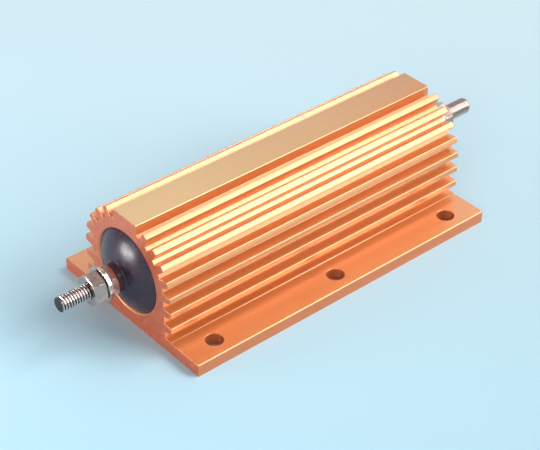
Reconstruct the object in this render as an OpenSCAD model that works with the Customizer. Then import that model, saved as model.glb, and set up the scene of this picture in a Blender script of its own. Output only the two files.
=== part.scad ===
// Aluminium housed wirewound power resistor, 300 W size, with threaded stud terminals.
// X runs along the resistor, Z points up, and the origin is at the middle of the base's underside.

/* [Housing] */
// Length of the extruded housing
housing_length = 127.7; // [110:0.1:180]
// Diameter of the round bore that holds the resistive element
bore_diameter = 30; // [26:0.5:34]
// Depth of the chamfer at both mouths of the bore
bore_chamfer = 0.45; // [0.2:0.05:1]
// Metal between the bore and the floors of the grooves
housing_wall = 3.9; // [3:0.1:6]
// Metal under the bore
floor_thickness = 5.4; // [4:0.1:8]

/* [Mounting flanges] */
// How far each flange stands out from the side wall
flange_reach = 17.35; // [15:0.05:25]
// Thickness of the flanges
flange_thickness = 4.5; // [3:0.1:5.5]
// Radius of the flanges' upper outer edge
flange_edge_radius = 0.4; // [0.1:0.05:1]
// How far the raised strip beside each side wall reaches out
strip_reach = 3.3; // [1:0.1:5]
// Height of the raised strip above the flange
strip_rise = 0.25; // [0.1:0.05:0.6]
// Diameter of the mounting holes
hole_diameter = 6.2; // [4:0.1:8]
// Distance from a hole's centre to the flange's outer edge
hole_edge_distance = 6.75; // [5.5:0.05:9]
// Distance between neighbouring holes along the flange
hole_pitch = 52; // [35:0.5:54]

/* [Cooling fins] */
// How far the fins stand out from the groove floors
fin_reach = 3.7; // [2:0.1:6]
// Thickness of a fin at its tip
fin_tip_thickness = 2.15; // [1:0.05:2.6]
// Radius of the two edges of a fin's tip
fin_edge_radius = 0.3; // [0.1:0.05:0.45]
// Number of level fins on each side wall
side_fin_count = 3; // [1:1:3]
// Height from one level fin to the next
side_fin_pitch = 6.1; // [4.8:0.1:6.6]
// Height of the uppermost level fin above the bore's axis
side_fin_lead = 1.2; // [0.5:0.1:1.5]
// How much a level fin's upper face rises towards its root
side_fin_top_flare = 0.3; // [0:0.05:0.6]
// How much a level fin's lower face drops towards its root
side_fin_under_flare = 0.85; // [0:0.05:1.2]
// Number of radial fins on each side of the crown
crown_fin_count = 4; // [1:1:4]
// Angle of the first radial fin above the horizontal
crown_fin_lead = 17.8; // [17:0.1:19]
// Angle from one radial fin to the next
crown_fin_pitch = 14.6; // [13:0.1:15]
// How much each flank of a radial fin spreads towards its root
crown_fin_flare = 0.55; // [0:0.05:0.8]
// Width of the flat pad along the top
pad_width = 12.1; // [6:0.1:13]
// Height of the pad above the groove floors
pad_rise = 2.5; // [1:0.1:6]
// Radius of the pad's upper edges
pad_edge_radius = 0.3; // [0.1:0.05:0.8]

/* [Resistive element] */
// Diameter of the ceramic core
core_diameter = 16; // [12:0.5:18]
// Diameter of the hole through the ceramic core
core_hole = 6; // [2:0.5:8]
// Distance from the housing's end to the ceramic core's end
core_inset = 15.85; // [14.5:0.05:20]
// Diameter of the resistance wire
wire_diameter = 1.4; // [0.6:0.1:1.8]
// Distance from one turn of the wire to the next
turn_pitch = 2.4; // [1.9:0.1:4]
// Thickness of the cement coat that holds the turns
coat_thickness = 0.3; // [0.1:0.05:0.6]
// Wall of the metal end ferrules
ferrule_wall = 0.8; // [0.5:0.1:1.2]
// Thickness of a ferrule's end plate
ferrule_plate = 1.2; // [0.8:0.1:2]
// How far a ferrule grips over the core
ferrule_grip = 8; // [5:0.5:12]

/* [End caps] */
// How deep an end cap plugs into the bore
cap_depth = 9; // [6:0.5:10]
// Height of the cap's domed face from edge to crown
dome_rise = 5; // [3:0.1:5.5]
// Height of the cap's neck above the housing's end
neck_height = 6.35; // [5.6:0.05:9]
// Diameter of the cap's neck
neck_diameter = 10.2; // [8.5:0.1:12]
// Radius of the fillet between dome and neck
neck_fillet = 0.9; // [0.3:0.1:1.5]

/* [Terminals] */
// Major diameter of the stud's thread
stud_diameter = 5.9; // [4.9:0.1:6.4]
// How far a stud stands out from the housing's end
stud_projection = 26.45; // [23:0.05:40]
// Length of the chamfer at the stud's free end
stud_chamfer = 0.5; // [0.2:0.1:1]
// Pitch of the stud's thread
thread_pitch = 1; // [0.8:0.05:1.25]
// Depth of the thread's grooves
thread_depth = 0.54; // [0.3:0.02:0.8]
// Diameter of the stud's weld head inside
stud_head_diameter = 9; // [7.5:0.5:12]
// Thickness of the stud's weld head
stud_head_thickness = 2; // [1:0.1:3]
// Width across the flats of both nuts
nut_across_flats = 10; // [9:0.1:11]
// Thickness of the outer nut
nut_thickness = 4.8; // [4:0.1:6]
// Thickness of the thin nut on the cap's neck
jam_nut_thickness = 3; // [2.4:0.1:4]
// Diameter of a nut's flat face inside its chamfer, as a share of the width across flats
nut_face_share = 0.95; // [0.9:0.01:0.98]
// Outer diameter of the plain washer
washer_diameter = 12.2; // [11:0.1:14]
// Thickness of the plain washer
washer_thickness = 0.9; // [0.6:0.1:1.6]
// Outer diameter of the spring washer
spring_washer_diameter = 11.8; // [10.5:0.1:13]
// Thickness of the spring washer
spring_washer_thickness = 0.6; // [0.5:0.1:1.6]
// Width of the split in the spring washer
spring_washer_split = 0.8; // [0.4:0.1:1.5]
// Angle of a corner of the left nuts, from straight down
left_nut_turn = 49; // [0:1:59]
// Angle of a corner of the right nuts, from straight down
right_nut_turn = 4; // [0:1:59]

/* [Clearances] */
// Radial gap between an end cap and the bore
cap_clearance = 0.05; // [0.02:0.01:0.2]
// Gap between the cement filling and what it surrounds
cast_clearance = 0.03; // [0.01:0.01:0.1]
// Radial gap between a ferrule and the core
ferrule_clearance = 0.03; // [0.01:0.01:0.1]
// Radial gap between the stud and the nuts on its thread
thread_clearance = 0.05; // [0.02:0.01:0.15]
// Radial gap between the stud and the cap and washers around it
stud_clearance = 0.2; // [0.05:0.05:0.4]

/* [Hidden] */

GOLD = "#d98a4a";
CERAMIC = "#e9e4d6";
WIRE = "#9a948c";
CEMENT = "#b9b2a2";
STEEL = "#c9c8c4";
NICKEL = "#d8d4cc";
BLACK = "#2f2a35";

// Facets of the large round shapes and of the small ones, and steps along the arc of a rounded edge
round_fn = 128;
edge_fn = 32;
edge_steps = 4;
// Sides of the wire's section, kept few because the winding is sealed inside
wire_fn = 6;
// Overlap that lets joined shapes merge, and overshoot that lets a cut pass right through
merge = 1;

bore_r = bore_diameter / 2;
root_r = bore_r + housing_wall;
axis_height = floor_thickness + bore_r;
base_width = 2 * (root_r + flange_reach);
hole_y = base_width / 2 - hole_edge_distance;
pad_top = axis_height + root_r + pad_rise;
half_length = housing_length / 2;

core_r = core_diameter / 2;
core_end = half_length - core_inset;
ferrule_r = core_r + ferrule_clearance + ferrule_wall;
ferrule_open_end = core_end - ferrule_grip;
ferrule_closed_end = core_end + ferrule_plate;
winding_half = ferrule_open_end - cast_clearance;
winding_inner_r = core_r + cast_clearance;
winding_outer_r = winding_inner_r + wire_diameter;
turn_count = floor((2 * winding_half - wire_diameter) / turn_pitch) + 1;

cap_r = bore_r - cap_clearance;
cap_edge = half_length - bore_chamfer;
cap_inner_face = cap_edge - cap_depth;
dome_r = (cap_r * cap_r + dome_rise * dome_rise) / (2 * dome_rise);
neck_r = neck_diameter / 2;
neck_face = half_length + neck_height;
filling_end = cap_inner_face - cast_clearance;

stud_r = stud_diameter / 2;
stud_tip = half_length + stud_projection;
jam_nut_face = neck_face + jam_nut_thickness;
spring_washer_face = jam_nut_face + spring_washer_thickness;
washer_face = spring_washer_face + washer_thickness;
nut_face = washer_face + nut_thickness;
stud_hole_r = stud_r + stud_clearance;
nut_hole_r = stud_r + thread_clearance;
nut_corner_r = nut_across_flats / 2 / cos(30);
nut_face_r = nut_face_share * nut_across_flats / 2;
// Angle of each flank of the thread's grooves
thread_flank_angle = 30;
// Angle of the nuts' corner chamfers, and how far their cone runs past the corners
nut_chamfer_angle = 30;
nut_chamfer_overshoot = 0.2;
// Angle of the spring washer's split from straight down, and how far it leans
split_turn = 50;
split_lean = 25;

// Puts a shape drawn along +Z on the bore's axis, pointing along +X
module on_axis() {
    translate([0, 0, axis_height]) rotate([0, 90, 0]) children();
}

// Builds the left end as the mirror image of the right end
module left_end() {
    mirror([1, 0, 0]) children();
}

module tube(r_outer, r_inner, from, to) {
    translate([0, 0, from]) difference() {
        cylinder(r = r_outer, h = to - from, $fn = round_fn);
        translate([0, 0, -merge]) cylinder(r = r_inner, h = to - from + 2 * merge, $fn = round_fn);
    }
}

// --- Housing -------------------------------------------------------------

// Points along an arc, from one angle to another
function arc(centre, radius, from, to) =
    [for (i = [0:edge_steps])
        let (angle = from + (to - from) * i / edge_steps)
        centre + radius * [cos(angle), sin(angle)]];

// A block standing on the X axis, with its two upper edges rounded
module round_topped_block(width, height, edge_r) {
    x = width / 2 - edge_r;
    y = height - edge_r;
    polygon(concat(
        [[-width / 2, 0], [width / 2, 0]],
        arc([x, y], edge_r, 0, 90),
        arc([-x, y], edge_r, 90, 180)
    ));
}

// Section of one fin, from its root at x = 0 to its tip. Each flank spreads by its flare towards the root,
// and meets the tip in a rounded edge whose arc ends square to the flank
module fin_section(top_flare, under_flare) {
    top_slope = atan(top_flare / fin_reach);
    under_slope = atan(under_flare / fin_reach);
    edge_x = fin_reach - fin_edge_radius;
    top_edge = [edge_x, edge_height(top_slope)];
    under_edge = [edge_x, -edge_height(under_slope)];
    polygon(concat(
        [[-merge, -half_thickness(-merge, under_slope)]],
        arc(under_edge, fin_edge_radius, under_slope - 90, 0),
        arc(top_edge, fin_edge_radius, 0, 90 - top_slope),
        [[-merge, half_thickness(-merge, top_slope)]]
    ));
}

// Distance from a fin's middle to its flank, at a distance x from the root
function half_thickness(x, slope) = fin_tip_thickness / 2 + (fin_reach - x) * tan(slope);
// Distance from a fin's middle to the centre of its rounded edge
function edge_height(slope) = half_thickness(fin_reach - fin_edge_radius, slope) - fin_edge_radius / cos(slope);

module side_fins() {
    for (i = [0:side_fin_count - 1])
        translate([root_r, axis_height + side_fin_lead - i * side_fin_pitch])
            fin_section(side_fin_top_flare, side_fin_under_flare);
}

module crown_fins() {
    for (i = [0:crown_fin_count - 1])
        translate([0, axis_height]) rotate(crown_fin_lead + i * crown_fin_pitch)
            translate([root_r, 0]) fin_section(crown_fin_flare, crown_fin_flare);
}

module housing_section() {
    difference() {
        union() {
            round_topped_block(base_width, flange_thickness, flange_edge_radius);
            translate([-root_r - strip_reach, 0])
                square([2 * (root_r + strip_reach), flange_thickness + strip_rise]);
            translate([-root_r, 0]) square([2 * root_r, axis_height]);
            translate([0, axis_height]) circle(r = root_r, $fn = round_fn);
            translate([0, axis_height])
                round_topped_block(pad_width, pad_top - axis_height, pad_edge_radius);
            for (side = [0, 1])
                mirror([side, 0]) {
                    side_fins();
                    crown_fins();
                }
        }
        translate([0, axis_height]) circle(r = bore_r, $fn = round_fn);
    }
}

// Chamfer cutter at the bore's right mouth
module bore_mouth_cut() {
    on_axis() translate([0, 0, cap_edge])
        cylinder(r1 = bore_r, r2 = bore_r + bore_chamfer + merge, h = bore_chamfer + merge, $fn = round_fn);
}

module mounting_hole_cuts() {
    for (x = [-hole_pitch, 0, hole_pitch], y = [-hole_y, hole_y])
        translate([x, y, -merge])
            cylinder(d = hole_diameter, h = flange_thickness + 2 * merge, $fn = round_fn);
}

module housing() {
    color(GOLD) difference() {
        rotate([90, 0, 90]) linear_extrude(height = housing_length, center = true) housing_section();
        bore_mouth_cut();
        left_end() bore_mouth_cut();
        mounting_hole_cuts();
    }
}

// --- Resistive element ---------------------------------------------------

module ceramic_core() {
    color(CERAMIC) on_axis() tube(core_r, core_hole / 2, -core_end, core_end);
}

// The wire's turns and the coat between them, as one ridged sleeve on the core
module resistance_winding() {
    first_turn = -(turn_count - 1) * turn_pitch / 2;
    color(WIRE) on_axis() rotate_extrude($fn = round_fn) union() {
        translate([winding_inner_r, -winding_half]) square([coat_thickness, 2 * winding_half]);
        for (i = [0:turn_count - 1])
            translate([winding_inner_r + wire_diameter / 2, first_turn + i * turn_pitch])
                circle(d = wire_diameter, $fn = wire_fn);
    }
}

module ferrule() {
    on_axis() {
        tube(ferrule_r, core_r + ferrule_clearance, ferrule_open_end, core_end);
        translate([0, 0, core_end]) cylinder(r = ferrule_r, h = ferrule_plate, $fn = round_fn);
    }
}

module left_ferrule() {
    color(STEEL) left_end() ferrule();
}

module right_ferrule() {
    color(STEEL) ferrule();
}

// Cement that fills the bore round the element, from one end cap to the other
module cement_filling() {
    color(CEMENT) on_axis() difference() {
        translate([0, 0, -filling_end])
            cylinder(r = bore_r - cast_clearance, h = 2 * filling_end, $fn = round_fn);
        translate([0, 0, -ferrule_open_end])
            cylinder(r = winding_outer_r + cast_clearance, h = 2 * ferrule_open_end, $fn = round_fn);
        for (side = [0, 1])
            mirror([0, 0, side]) {
                translate([0, 0, ferrule_open_end - cast_clearance])
                    cylinder(r = ferrule_r + cast_clearance,
                        h = ferrule_closed_end - ferrule_open_end + 2 * cast_clearance, $fn = round_fn);
                translate([0, 0, ferrule_closed_end])
                    cylinder(d = stud_head_diameter + 2 * cast_clearance,
                        h = stud_head_thickness + cast_clearance, $fn = round_fn);
                translate([0, 0, ferrule_closed_end])
                    cylinder(r = stud_r + cast_clearance, h = filling_end, $fn = round_fn);
            }
    }
}

// --- End caps ------------------------------------------------------------

// Centre of the fillet between dome and neck, with the radius first and the height above the edge second
function fillet_centre() =
    [neck_r + neck_fillet,
     dome_rise - dome_r + sqrt(pow(dome_r + neck_fillet, 2) - pow(neck_r + neck_fillet, 2))];
// Point where the fillet meets the dome
function fillet_touch() =
    let (share = dome_r / (dome_r + neck_fillet), centre = fillet_centre())
    [centre[0] * share, (dome_rise - dome_r) * (1 - share) + centre[1] * share];

// Half section of an end cap above and below its edge, with the radius along X
module end_cap_section() {
    centre = fillet_centre();
    touch = fillet_touch();
    difference() {
        union() {
            translate([0, -cap_depth]) square([cap_r, cap_depth]);
            intersection() {
                translate([0, dome_rise - dome_r]) circle(r = dome_r, $fn = round_fn);
                translate([0, -merge]) square([cap_r, dome_rise + merge]);
            }
            polygon([[0, 0], [touch[0], 0], touch, centre, [0, centre[1]]]);
            square([neck_r, neck_face - cap_edge]);
        }
        translate(centre) circle(r = neck_fillet, $fn = edge_fn);
        translate([0, -cap_depth - merge])
            square([stud_hole_r, neck_face - cap_edge + cap_depth + 2 * merge]);
    }
}

// A moulded plug with a domed face and a neck that carries the terminal's hardware
module end_cap() {
    on_axis() translate([0, 0, cap_edge]) rotate_extrude($fn = round_fn) end_cap_section();
}

module left_end_cap() {
    color(BLACK) left_end() end_cap();
}

module right_end_cap() {
    color(BLACK) end_cap();
}

// --- Terminals -----------------------------------------------------------

// Stud with its weld head on the ferrule's end plate
module stud() {
    on_axis() difference() {
        union() {
            translate([0, 0, ferrule_closed_end])
                cylinder(d = stud_head_diameter, h = stud_head_thickness, $fn = round_fn);
            translate([0, 0, ferrule_closed_end])
                cylinder(r = stud_r, h = stud_tip - stud_chamfer - ferrule_closed_end, $fn = round_fn);
            translate([0, 0, stud_tip - stud_chamfer])
                cylinder(r1 = stud_r, r2 = stud_r - stud_chamfer, h = stud_chamfer, $fn = round_fn);
        }
        first_thread_groove();
    }
}

// The one groove of the thread that is cut, where the stud's free end leaves the outer nut
module first_thread_groove() {
    root_r = stud_r - thread_depth;
    half_width = (thread_depth + merge) * tan(thread_flank_angle);
    middle = nut_face + thread_pitch / 2;
    rotate_extrude($fn = round_fn) polygon([
        [root_r, middle], [stud_r + merge, middle - half_width], [stud_r + merge, middle + half_width]
    ]);
}

module left_stud() {
    color(NICKEL) left_end() stud();
}

module right_stud() {
    color(NICKEL) stud();
}

// Hexagonal nut with its corners chamfered at both faces
module hex_nut(thickness, turn) {
    rim_r = nut_corner_r + nut_chamfer_overshoot;
    chamfer = (rim_r - nut_face_r) * tan(nut_chamfer_angle);
    difference() {
        intersection() {
            rotate(turn) cylinder(r = nut_corner_r, h = thickness, $fn = 6);
            rotate_extrude($fn = round_fn) polygon([
                [0, 0], [nut_face_r, 0], [rim_r, chamfer],
                [rim_r, thickness - chamfer], [nut_face_r, thickness], [0, thickness]
            ]);
        }
        translate([0, 0, -merge]) cylinder(r = nut_hole_r, h = thickness + 2 * merge, $fn = round_fn);
    }
}

module jam_nut(turn) {
    on_axis() translate([0, 0, neck_face]) hex_nut(jam_nut_thickness, turn);
}

module left_jam_nut() {
    color(NICKEL) left_end() jam_nut(left_nut_turn);
}

module right_jam_nut() {
    color(NICKEL) jam_nut(right_nut_turn);
}

module spring_washer() {
    on_axis() difference() {
        tube(spring_washer_diameter / 2, stud_hole_r, jam_nut_face, spring_washer_face);
        rotate(split_turn) translate([spring_washer_diameter / 4 + merge, 0, jam_nut_face])
            rotate([split_lean, 0, 0])
                cube([spring_washer_diameter / 2 + merge, spring_washer_split,
                    4 * spring_washer_thickness], center = true);
    }
}

module left_spring_washer() {
    color(STEEL) left_end() spring_washer();
}

module right_spring_washer() {
    color(STEEL) spring_washer();
}

module washer() {
    on_axis() tube(washer_diameter / 2, stud_hole_r, spring_washer_face, washer_face);
}

module left_washer() {
    color(STEEL) left_end() washer();
}

module right_washer() {
    color(STEEL) washer();
}

module outer_nut(turn) {
    on_axis() translate([0, 0, washer_face]) hex_nut(nut_thickness, turn);
}

module left_nut() {
    color(NICKEL) left_end() outer_nut(left_nut_turn);
}

module right_nut() {
    color(NICKEL) outer_nut(right_nut_turn);
}

housing();
ceramic_core();
resistance_winding();
cement_filling();
left_ferrule();
right_ferrule();
left_stud();
right_stud();
left_end_cap();
right_end_cap();
left_jam_nut();
right_jam_nut();
left_spring_washer();
right_spring_washer();
left_washer();
right_washer();
left_nut();
right_nut();
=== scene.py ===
import math

import bmesh
import bpy
from mathutils import Euler, Matrix, Vector


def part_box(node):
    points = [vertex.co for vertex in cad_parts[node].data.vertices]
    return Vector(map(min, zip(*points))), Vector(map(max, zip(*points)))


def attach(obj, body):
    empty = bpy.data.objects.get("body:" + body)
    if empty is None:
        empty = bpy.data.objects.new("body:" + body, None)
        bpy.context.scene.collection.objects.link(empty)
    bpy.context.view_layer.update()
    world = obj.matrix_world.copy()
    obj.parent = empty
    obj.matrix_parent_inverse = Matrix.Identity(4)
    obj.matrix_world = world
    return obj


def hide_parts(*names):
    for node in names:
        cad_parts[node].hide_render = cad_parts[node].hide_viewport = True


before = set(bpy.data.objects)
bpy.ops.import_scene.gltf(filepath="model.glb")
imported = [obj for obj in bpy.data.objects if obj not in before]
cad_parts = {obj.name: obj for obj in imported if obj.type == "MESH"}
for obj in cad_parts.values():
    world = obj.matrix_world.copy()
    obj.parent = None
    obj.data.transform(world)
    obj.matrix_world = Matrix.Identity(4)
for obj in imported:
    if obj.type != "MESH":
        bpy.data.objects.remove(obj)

MM = 0.001
scene = bpy.context.scene
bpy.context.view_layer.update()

# ---------------------------------------------------------------- sizes, mm
HALF_LENGTH = round(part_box("housing")[1].x / MM, 3)
PAD_TOP = round(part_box("housing")[1].z / MM, 3)
FLANGE_TOP = 4.5
AXIS_HEIGHT = 20.4
BORE_CHAMFER = 0.45

CAP_R = 14.95
CAP_DEPTH = 9.0
CAP_EDGE = HALF_LENGTH - BORE_CHAMFER
CAP_INNER = CAP_EDGE - CAP_DEPTH
CAP_INNER_CHAMFER = 0.3
CAP_RIM_ROUND = 0.25
DOME_RISE = 5.0
NECK_R = 5.1
NECK_HEIGHT = 6.35
NECK_FACE = HALF_LENGTH + NECK_HEIGHT
NECK_FILLET = 0.9
NECK_EDGE_ROUND = 0.2
STUD_HOLE_R = 3.15

STUD_R = 2.95
STUD_PROJECTION = 26.45
STUD_TIP = HALF_LENGTH + STUD_PROJECTION
STUD_CHAMFER = 0.5
STUD_HEAD_R = 4.5
STUD_HEAD_INSET = 14.65
STUD_HEAD_THICKNESS = 2.0
STUD_HEAD_FROM = HALF_LENGTH - STUD_HEAD_INSET
STUD_HEAD_TO = STUD_HEAD_FROM + STUD_HEAD_THICKNESS

THREAD_PITCH = 1.0
THREAD_DEPTH = 0.54
THREAD_LENGTH = 12.1
THREAD_START = STUD_TIP - THREAD_LENGTH
THREAD_RUN_IN = 0.5
# Shares of the pitch, from the middle of a crest: where its flank starts and where the root does
CREST_SHARE = 0.09
ROOT_SHARE = 0.40
# How much of a flank's shape is a smooth curve, the rest being straight
FLANK_ROUNDING = 0.35

# Where the colour changes: below the flanges' tops, just below the top face, above which its tan is a
# painted reflection, short of the sawn ends, and over the depth of the thread, whose roots get a
# painted shade
FLANGE_EDGE_BAND = (FLANGE_TOP - 0.7, FLANGE_TOP - 0.2)
PAD_SHEEN_BAND = (PAD_TOP - 0.35, PAD_TOP - 0.2)
END_BAND = (HALF_LENGTH - 0.13, HALF_LENGTH - 0.05)
GROOVE_SHADE_BAND = (STUD_R - 0.55, STUD_R - 0.21)
# The top face's tan, a painted reflection, darkens from one of these places to the other
PAD_SHEEN_FADE = (-60, 60)

# Steps of the turned shapes
CAP_SEGMENTS = 128
DOME_STEPS = 40
FILLET_STEPS = 8
EDGE_STEPS = 4
STUD_SEGMENTS = 60
STEPS_PER_PITCH = 20

# Eased edges of the pieces taken over from the CAD; the first two clean up its triangles
MERGE_DISTANCE = 0.002
FLAT_ANGLE = math.radians(0.6)
BEVEL_ANGLE = math.radians(25)
BEVEL_SEGMENTS = 2
HOUSING_BEVEL = 0.16


# ------------------------------------------------------------- small helpers
def srgb(r, g, b):
    """Linear colour from 0-255 display values."""
    def linear(v):
        v /= 255
        return v / 12.92 if v <= 0.04045 else ((v + 0.055) / 1.055) ** 2.4
    return (linear(r), linear(g), linear(b), 1.0)


def new_object(name, bm, material):
    """Object with one material from a bmesh in metres, which is used up."""
    mesh = bpy.data.meshes.new(name)
    bm.to_mesh(mesh)
    bm.free()
    mesh.materials.append(material)
    obj = bpy.data.objects.new(name, mesh)
    scene.collection.objects.link(obj)
    return obj


def new_piece(name, bm, material, stands_for, sharp_from):
    """Piece riding on the part in place of its CAD node, smooth between edges sharper than an angle."""
    bmesh.ops.recalc_face_normals(bm, faces=bm.faces)
    obj = new_object(name, bm, material)
    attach(obj, "root")
    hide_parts(stands_for)
    for poly in obj.data.polygons:
        poly.use_smooth = True
    obj.data.set_sharp_from_angle(angle=math.radians(sharp_from))
    return obj


def around_axis(x, r, angle):
    """Point in metres at a place along the terminal axis and a distance from it, both in mm."""
    return (x * MM, r * math.cos(angle) * MM, (AXIS_HEIGHT + r * math.sin(angle)) * MM)


def full_circle(segments):
    """Angles of that many even steps round a circle."""
    return [2 * math.pi * k / segments for k in range(segments)]


def arc(x, r, radius, start, end, steps):
    """(x, r) points of an arc between two angles, both ends included."""
    angles = [start + (end - start) * k / steps for k in range(steps + 1)]
    return [(x + radius * math.cos(a), r + radius * math.sin(a)) for a in angles]


# ----------------------------------------------------------------- materials
class Nodes:
    """A node tree with short calls to add, link and set its nodes."""

    # Most values of a noise texture lie between these two
    NOISE_LOW, NOISE_HIGH = 0.3, 0.7
    # The sockets that a Mix node uses for colours
    MIX_A, MIX_B, MIX_RESULT = 6, 7, 2

    def __init__(self, owner, shader="Principled BSDF"):
        owner.use_nodes = True
        self.owner = owner
        self.tree = owner.node_tree
        self.shader = self.tree.nodes[shader]

    def add(self, kind, **settings):
        """New node of a kind, with its settings."""
        node = self.tree.nodes.new(kind)
        for key, value in settings.items():
            setattr(node, key, value)
        return node

    def feed(self, socket, value):
        """Link an output to a socket, or set a constant on it."""
        if isinstance(value, bpy.types.NodeSocket):
            self.tree.links.new(value, socket)
        else:
            socket.default_value = value

    def shade(self, inputs):
        """Feed the shader's inputs, by their names in Blender."""
        for name, value in inputs.items():
            self.feed(self.shader.inputs[name], value)

    def coords(self, kind="Object"):
        """One kind of texture coordinates."""
        return self.add("ShaderNodeTexCoord").outputs[kind]

    def mapped(self, scale=(1, 1, 1), turn=0.0):
        """Object coordinates, turned about Z by an angle in degrees and scaled."""
        mapping = self.add("ShaderNodeMapping")
        self.feed(mapping.inputs["Vector"], self.coords())
        mapping.inputs["Scale"].default_value = scale
        mapping.inputs["Rotation"].default_value = (0, 0, math.radians(turn))
        return mapping.outputs["Vector"]

    def split(self, vector):
        """The X, Y and Z outputs of a vector."""
        node = self.add("ShaderNodeSeparateXYZ")
        self.feed(node.inputs["Vector"], vector)
        return node.outputs

    def noise(self, scale, detail=3.0, roughness=0.5):
        """Noise with its own fineness along each axis, per metre."""
        node = self.add("ShaderNodeTexNoise")
        self.feed(node.inputs["Vector"], self.mapped(scale))
        node.inputs["Scale"].default_value = 1.0
        node.inputs["Detail"].default_value = detail
        node.inputs["Roughness"].default_value = roughness
        return node.outputs["Fac"]

    def ramp(self, fac, stops):
        """Colours at their places between 0 and 1."""
        node = self.add("ShaderNodeValToRGB")
        elements = node.color_ramp.elements
        while len(elements) < len(stops):
            elements.new(0.5)
        for element, (position, colour) in zip(elements, stops):
            element.position = position
            element.color = colour
        self.feed(node.inputs["Fac"], fac)
        return node.outputs["Color"]

    def tones(self, noise, low, high):
        """Two tones of a colour, spread by a noise."""
        return self.ramp(noise, [(self.NOISE_LOW, low), (self.NOISE_HIGH, high)])

    def remap(self, value, to_low, to_high, low=NOISE_LOW, high=NOISE_HIGH):
        """A value between low and high, made one between to_low and to_high."""
        node = self.add("ShaderNodeMapRange")
        self.feed(node.inputs["Value"], value)
        node.inputs["From Min"].default_value = low
        node.inputs["From Max"].default_value = high
        node.inputs["To Min"].default_value = to_low
        node.inputs["To Max"].default_value = to_high
        return node.outputs["Result"]

    def mask(self, metres, low, high):
        """0 below one length and 1 above the other, both in mm."""
        return self.remap(metres, 0.0, 1.0, low * MM, high * MM)

    def along(self, axis, low, high):
        """Mask by the place on an axis."""
        return self.mask(self.split(self.coords())[axis], low, high)

    def beyond(self, axis, low, high):
        """Mask by the distance from the middle on an axis, the same on both sides."""
        distance = self.add("ShaderNodeMath", operation="ABSOLUTE")
        self.feed(distance.inputs[0], self.split(self.coords())[axis])
        return self.mask(distance.outputs["Value"], low, high)

    def outside(self, low, high):
        """Mask by the distance from the terminal axis."""
        offset = self.add("ShaderNodeVectorMath", operation="SUBTRACT")
        self.feed(offset.inputs[0], self.coords())
        offset.inputs[1].default_value = (0, 0, AXIS_HEIGHT * MM)
        across = self.add("ShaderNodeVectorMath", operation="MULTIPLY")
        self.feed(across.inputs[0], offset.outputs["Vector"])
        across.inputs[1].default_value = (0, 1, 1)
        length = self.add("ShaderNodeVectorMath", operation="LENGTH")
        self.feed(length.inputs[0], across.outputs["Vector"])
        return self.mask(length.outputs["Value"], low, high)

    def mix(self, fac, a, b, blend="MIX"):
        """Colour a where fac is 0 and colour b, or both blended, where it is 1."""
        node = self.add("ShaderNodeMix", data_type="RGBA", blend_type=blend)
        self.feed(node.inputs["Factor"], fac)
        self.feed(node.inputs[self.MIX_A], a)
        self.feed(node.inputs[self.MIX_B], b)
        return node.outputs[self.MIX_RESULT]

    def bump(self, height, strength, distance):
        """Relief on the shader's normal, its depth in mm."""
        node = self.add("ShaderNodeBump")
        self.feed(node.inputs["Height"], height)
        node.inputs["Strength"].default_value = strength
        node.inputs["Distance"].default_value = distance * MM
        self.feed(self.shader.inputs["Normal"], node.outputs["Normal"])


def anodised_aluminium():
    """Gold anodised extrusion with streaks along it, a tan top face whose tan is a painted reflection
    that darkens along it, and orange flange edges and ends.
    """
    m = Nodes(bpy.data.materials.new("anodised_aluminium"))
    streaks = m.noise((6, 900, 900), detail=4.0, roughness=0.6)
    cloud = m.noise((22, 30, 30))
    speckle = m.noise((900, 900, 900))

    sides = m.ramp(streaks, [(0.25, srgb(223, 146, 86)), (0.8, srgb(231, 157, 97))])
    # Painted reflection: the top face's tan stands in for light mirrored off it, paler at the -X end
    # than at the +X end
    left_pad_sheen = m.tones(streaks, srgb(220, 182, 124), srgb(224, 186, 128))
    right_pad_sheen = m.tones(streaks, srgb(194, 134, 80), srgb(199, 139, 85))
    pad_sheen = m.mix(m.along("X", *PAD_SHEEN_FADE), left_pad_sheen, right_pad_sheen)
    flange_edges = m.tones(streaks, srgb(224, 120, 54), srgb(230, 127, 60))
    sawn = m.ramp(speckle, [
        (0.3, srgb(214, 102, 62)),
        (0.62, srgb(222, 112, 70)),
        (0.72, srgb(236, 150, 116)),
    ])

    at_ends = m.beyond("X", *END_BAND)
    colour = m.mix(m.along("Z", *FLANGE_EDGE_BAND), flange_edges, sides)
    # Painted reflection laid on the top face
    colour = m.mix(m.along("Z", *PAD_SHEEN_BAND), colour, pad_sheen)
    colour = m.mix(at_ends, colour, sawn)
    tint = m.tones(cloud, srgb(250, 247, 243), srgb(255, 255, 255))
    m.shade({
        "Base Color": m.mix(1.0, colour, tint, "MULTIPLY"),
        "Metallic": 0.62,
        "Roughness": m.remap(streaks, 0.36, 0.43),
        "Coat Weight": m.remap(at_ends, 0.9, 0.45, 0.0, 1.0),
        "Coat Roughness": 0.32,
        "Coat IOR": 1.65,
    })
    m.bump(streaks, strength=0.05, distance=0.04)
    return m.owner


def cap_moulding():
    """Glossy black moulding with a trace of purple."""
    m = Nodes(bpy.data.materials.new("cap_moulding"))
    grain = m.noise((400, 400, 400), detail=2.0)
    m.shade({
        "Base Color": m.tones(grain, srgb(58, 42, 54), srgb(66, 49, 62)),
        "Roughness": m.remap(grain, 0.22, 0.3),
        "IOR": 1.38,
    })
    m.bump(grain, strength=0.08, distance=0.05)
    return m.owner


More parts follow.
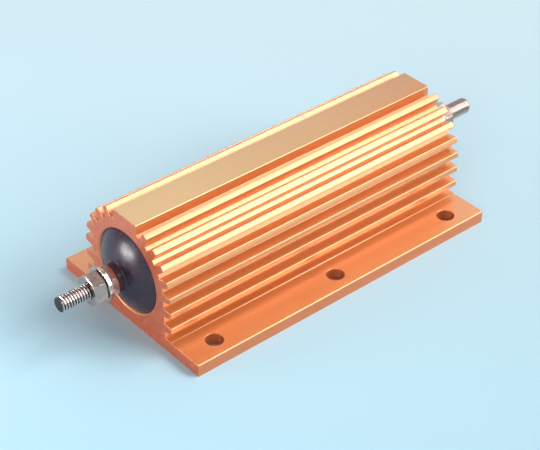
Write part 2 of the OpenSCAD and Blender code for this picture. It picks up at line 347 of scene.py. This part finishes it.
def plating(name, low, high, roughness, groove_shade=None):
    """Bright metal between two tones; groove_shade is the two radii over which a painted shade darkens
    it inwards, into the thread's roots and over the stud's flat end.
    """
    m = Nodes(bpy.data.materials.new(name))
    spots = m.noise((700, 700, 700))
    colour = m.tones(spots, low, high)
    # Painted shade: darker in the thread's roots and on the stud's flat end than on the crests
    if groove_shade:
        colour = m.mix(m.outside(*groove_shade), srgb(62, 54, 58), colour)
    m.shade({
        "Base Color": colour,
        "Metallic": 1.0,
        "Roughness": m.remap(spots, *roughness),
    })
    m.bump(spots, strength=0.06, distance=0.04)
    return m.owner


def matte(name, low, high, fineness):
    """Dry mineral surface, spotted between two tones."""
    m = Nodes(bpy.data.materials.new(name))
    spots = m.noise((fineness, fineness, fineness), detail=4.0)
    m.shade({
        "Base Color": m.tones(spots, low, high),
        "Roughness": m.remap(spots, 0.55, 0.8),
    })
    m.bump(spots, strength=0.2, distance=0.1)
    return m.owner


GOLD = anodised_aluminium()
CAP = cap_moulding()
# The stud gets a painted shade in its thread's roots
STUD = plating("plated_stud", srgb(206, 194, 190), srgb(222, 211, 206), (0.14, 0.22), GROOVE_SHADE_BAND)
NUT = plating("plated_nut", srgb(176, 152, 142), srgb(200, 176, 165), (0.12, 0.2))
WASHER = plating("plated_washer", srgb(200, 180, 172), srgb(220, 202, 194), (0.14, 0.22))
STEEL = plating("ferrule_steel", srgb(178, 176, 172), srgb(198, 196, 192), (0.3, 0.42))
WIRE = plating("resistance_wire", srgb(150, 142, 134), srgb(176, 168, 160), (0.4, 0.55))
CORE = matte("core_ceramic", srgb(222, 214, 200), srgb(236, 230, 218), 500)
CEMENT = matte("filling_cement", srgb(170, 164, 152), srgb(198, 192, 180), 350)

# Each small part's name and CAD node after its side, its material and slot, and its eased edges' width
HARDWARE = [
    ("outer_nut", "nut", NUT, "plated_nut", 0.18),
    ("thin_nut", "jam_nut", NUT, "plated_nut", 0.16),
    ("split_washer", "spring_washer", WASHER, "plated_washer", 0.14),
    ("flat_washer", "washer", WASHER, "plated_washer", 0.16),
]
HIDDEN = {
    "ceramic_core": CORE,
    "resistance_winding": WIRE,
    "cement_filling": CEMENT,
    "left_ferrule": STEEL,
    "right_ferrule": STEEL,
}


# -------------------------------------------------------------------- pieces
def bevelled_copy(name, node, material, width):
    """The CAD node's own mesh with its sharp edges eased, as a new piece."""
    bm = bmesh.new()
    bm.from_mesh(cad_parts[node].data)
    bmesh.ops.remove_doubles(bm, verts=bm.verts, dist=MERGE_DISTANCE * MM)
    bmesh.ops.dissolve_limit(
        bm, angle_limit=FLAT_ANGLE, verts=bm.verts, edges=bm.edges, delimit={"NORMAL"}
    )
    piece = new_piece(name, bm, material, node, sharp_from=30)
    bevel = piece.modifiers.new("edges", "BEVEL")
    bevel.width = width * MM
    bevel.segments = BEVEL_SEGMENTS
    bevel.limit_method = "ANGLE"
    bevel.angle_limit = BEVEL_ANGLE


def face_side(bm, side):
    """Turn a shape made for the right end to face its own side."""
    if side == "left":
        bmesh.ops.rotate(bm, verts=bm.verts, matrix=Matrix.Rotation(math.pi, 3, "Z"))


def end_cap_profile():
    """Closed half section (x, r) of an end cap, from its inner face round to its neck."""
    dome_r = (CAP_R ** 2 + DOME_RISE ** 2) / (2 * DOME_RISE)
    centre = CAP_EDGE + DOME_RISE - dome_r
    rim = math.asin(CAP_R / dome_r) - CAP_RIM_ROUND / dome_r
    fillet_r = NECK_R + NECK_FILLET
    fillet_x = centre + math.sqrt((dome_r + NECK_FILLET) ** 2 - fillet_r ** 2)
    touch = math.atan2(fillet_r, fillet_x - centre)

    dome = arc(centre, 0, dome_r, rim, touch, DOME_STEPS)
    fillet = arc(fillet_x, fillet_r, NECK_FILLET, touch + math.pi, 1.5 * math.pi, FILLET_STEPS)
    neck_edge = arc(
        NECK_FACE - NECK_EDGE_ROUND, NECK_R - NECK_EDGE_ROUND, NECK_EDGE_ROUND,
        math.pi / 2, 0, EDGE_STEPS,
    )
    inner_face = [
        (CAP_INNER, STUD_HOLE_R),
        (CAP_INNER, CAP_R - CAP_INNER_CHAMFER),
        (CAP_INNER + CAP_INNER_CHAMFER, CAP_R),
    ]
    rim_edge = [(CAP_EDGE - CAP_RIM_ROUND, CAP_R)]
    return inner_face + rim_edge + dome + fillet[1:] + neck_edge + [(NECK_FACE, STUD_HOLE_R)]


def end_cap(side):
    """Turned moulding with a domed face, a filleted neck and a hole for the stud."""
    profile = end_cap_profile()
    bm = bmesh.new()
    rings = [
        [bm.verts.new(around_axis(x, r, a)) for x, r in profile]
        for a in full_circle(CAP_SEGMENTS)
    ]
    for here, there in zip(rings, rings[1:] + rings[:1]):
        for i in range(len(profile)):
            j = (i + 1) % len(profile)
            bm.faces.new((here[i], here[j], there[j], there[i]))
    face_side(bm, side)
    new_piece(side + "_cap_moulding", bm, CAP, side + "_end_cap", sharp_from=35)


def thread_depth(phase):
    """Depth of the thread at a phase of its pitch, 0 in the middle of a crest."""
    share = abs((phase + 0.5) % 1.0 - 0.5)
    straight = min(max((share - CREST_SHARE) / (ROOT_SHARE - CREST_SHARE), 0.0), 1.0)
    curved = 0.5 - 0.5 * math.cos(math.pi * straight)
    return THREAD_DEPTH * (FLANK_ROUNDING * curved + (1 - FLANK_ROUNDING) * straight)


def threaded_r(x, angle):
    """Radius of the threaded length: it runs in from the shank and ends in the chamfer."""
    run_in = min(1.0, (x - THREAD_START) / THREAD_RUN_IN)
    depth = run_in * thread_depth(x / THREAD_PITCH - angle / (2 * math.pi))
    chamfer = max(0.0, x - (STUD_TIP - STUD_CHAMFER))
    return STUD_R - max(depth, chamfer)


def stud(side):
    """Weld head, plain shank, and a right-hand thread from inside the nut to the tip."""
    circle = full_circle(STUD_SEGMENTS)
    plain = [
        (STUD_HEAD_FROM, STUD_HEAD_R),
        (STUD_HEAD_TO, STUD_HEAD_R),
        (STUD_HEAD_TO, STUD_R),
        (THREAD_START, STUD_R),
    ]
    rows = [(x, [r] * STUD_SEGMENTS) for x, r in plain]
    for k in range(round(THREAD_LENGTH / THREAD_PITCH * STEPS_PER_PITCH)):
        x = THREAD_START + (k + 1) * THREAD_PITCH / STEPS_PER_PITCH
        rows.append((x, [threaded_r(x, a) for a in circle]))

    bm = bmesh.new()
    rings = [
        [bm.verts.new(around_axis(x, r, a)) for r, a in zip(radii, circle)]
        for x, radii in rows
    ]
    for here, there in zip(rings, rings[1:]):
        for i in range(STUD_SEGMENTS):
            j = (i + 1) % STUD_SEGMENTS
            bm.faces.new((here[i], here[j], there[j], there[i]))
    bm.faces.new(rings[0])
    bm.faces.new(rings[-1])
    face_side(bm, side)
    new_piece(side + "_threaded_stud", bm, STUD, side + "_stud", sharp_from=40)


def build():
    """Every visible piece, and the finish of the hidden ones."""
    bevelled_copy("finned_housing", "housing", GOLD, HOUSING_BEVEL)
    for side in ("left", "right"):
        end_cap(side)
        stud(side)
        for name, node, material, slot, width in HARDWARE:
            bevelled_copy(f"{side}_{name}", f"{side}_{node}", material, width)
    for node, material in HIDDEN.items():
        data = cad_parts[node].data
        data.materials.clear()
        data.materials.append(material)


# --------------------------------------------------------------------- stage
FLOOR_REACH = 6.0
# Direction on the floor away from the camera, in degrees from +X
AWAY = 49.6

# Each lamp's name, direction from the part, distance and size in metres, and power in watts
LAMPS = [
    ("key", (0.52, -0.70, 0.50), 1.2, (0.69, 0.90), 11.9),
    ("top_right", (0.50, -0.20, 0.84), 0.9, (0.38, 0.34), 2.6),
    ("back", (0.52, 0.61, 0.60), 1.2, (0.9, 0.9), 1.5),
    ("left_back", (-0.91, 0.41, 0.05), 0.8, (0.30, 0.12), 3.7),
    ("left_fill", (-0.8, -0.45, 0.5), 1.2, (0.6, 0.6), 3.0),
]

# The camera's place in mm and its turn in degrees about X, Y and Z
CAMERA_PLACE = (-301.974, -350.833, 351.198)
CAMERA_TURN = (53.4793, -0.0953, -40.2975)
CAMERA_LENS = 111.42
CAMERA_SENSOR = 36


def floor_paint():
    """Pale matte blue, with painted light and shade: a little paler towards the far end and the left of
    the camera's view.
    """
    m = Nodes(bpy.data.materials.new("floor_paint"))
    place = m.split(m.mapped(turn=-AWAY))
    far = m.mask(place["X"], -150, 350)
    left = m.mask(place["Y"], -150, 150)
    # Painted light and shade: paler to the left and far, darker on the near right
    near_blue = m.ramp(left, [(0.0, srgb(161, 194, 206)), (1.0, srgb(188, 234, 252))])
    far_blue = m.ramp(left, [(0.0, srgb(198, 215, 218)), (1.0, srgb(213, 226, 229))])
    m.shade({
        "Base Color": m.mix(far, near_blue, far_blue),
        "Roughness": 0.9,
        "Specular IOR Level": 0.1,
    })
    return m.owner


def backdrop():
    """Wide flat floor."""
    bm = bmesh.new()
    corners = [(-1, -1), (1, -1), (1, 1), (-1, 1)]
    bm.faces.new([bm.verts.new((x * FLOOR_REACH, y * FLOOR_REACH, 0)) for x, y in corners])
    floor = new_object("floor", bm, floor_paint())


def softbox(name, direction, distance, size, power):
    """Rectangular area lamp in that direction from the part's middle, facing it and unseen itself."""
    data = bpy.data.lights.new(name, "AREA")
    data.shape = "RECTANGLE"
    data.size, data.size_y = size
    data.energy = power
    lamp = bpy.data.objects.new(name, data)
    scene.collection.objects.link(lamp)
    lamp.visible_camera = False
    to_lamp = Vector(direction).normalized()
    lamp.location = Vector((0, 0, AXIS_HEIGHT * MM)) + to_lamp * distance
    lamp.rotation_mode = "QUATERNION"
    lamp.rotation_quaternion = (-to_lamp).to_track_quat("-Z", "Y")


def studio():
    """Soft white surroundings, twice as bright towards +X as towards -X."""
    world = Nodes(bpy.data.worlds.new("studio"), "Background")
    side = world.split(world.coords("Generated"))["X"]
    world.shade({
        "Color": (0.98, 0.97, 1.0, 1.0),
        "Strength": world.remap(side, 0.3, 0.6, -0.8, 0.8),
    })
    scene.world = world.owner


def add_camera():
    """Long lens that looks down on the left end, the front side and the top."""
    data = bpy.data.cameras.new("camera")
    data.sensor_width = CAMERA_SENSOR
    data.lens = CAMERA_LENS
    data.clip_start = 0.01
    data.clip_end = 50
    camera = bpy.data.objects.new("camera", data)
    scene.collection.objects.link(camera)
    turn = Euler([math.radians(angle) for angle in CAMERA_TURN])
    camera.matrix_world = Matrix.LocRotScale(Vector(CAMERA_PLACE) * MM, turn, None)
    scene.camera = camera


build()
backdrop()
for lamp in LAMPS:
    softbox(*lamp)
studio()
add_camera()
scene.view_settings.view_transform = "Standard"
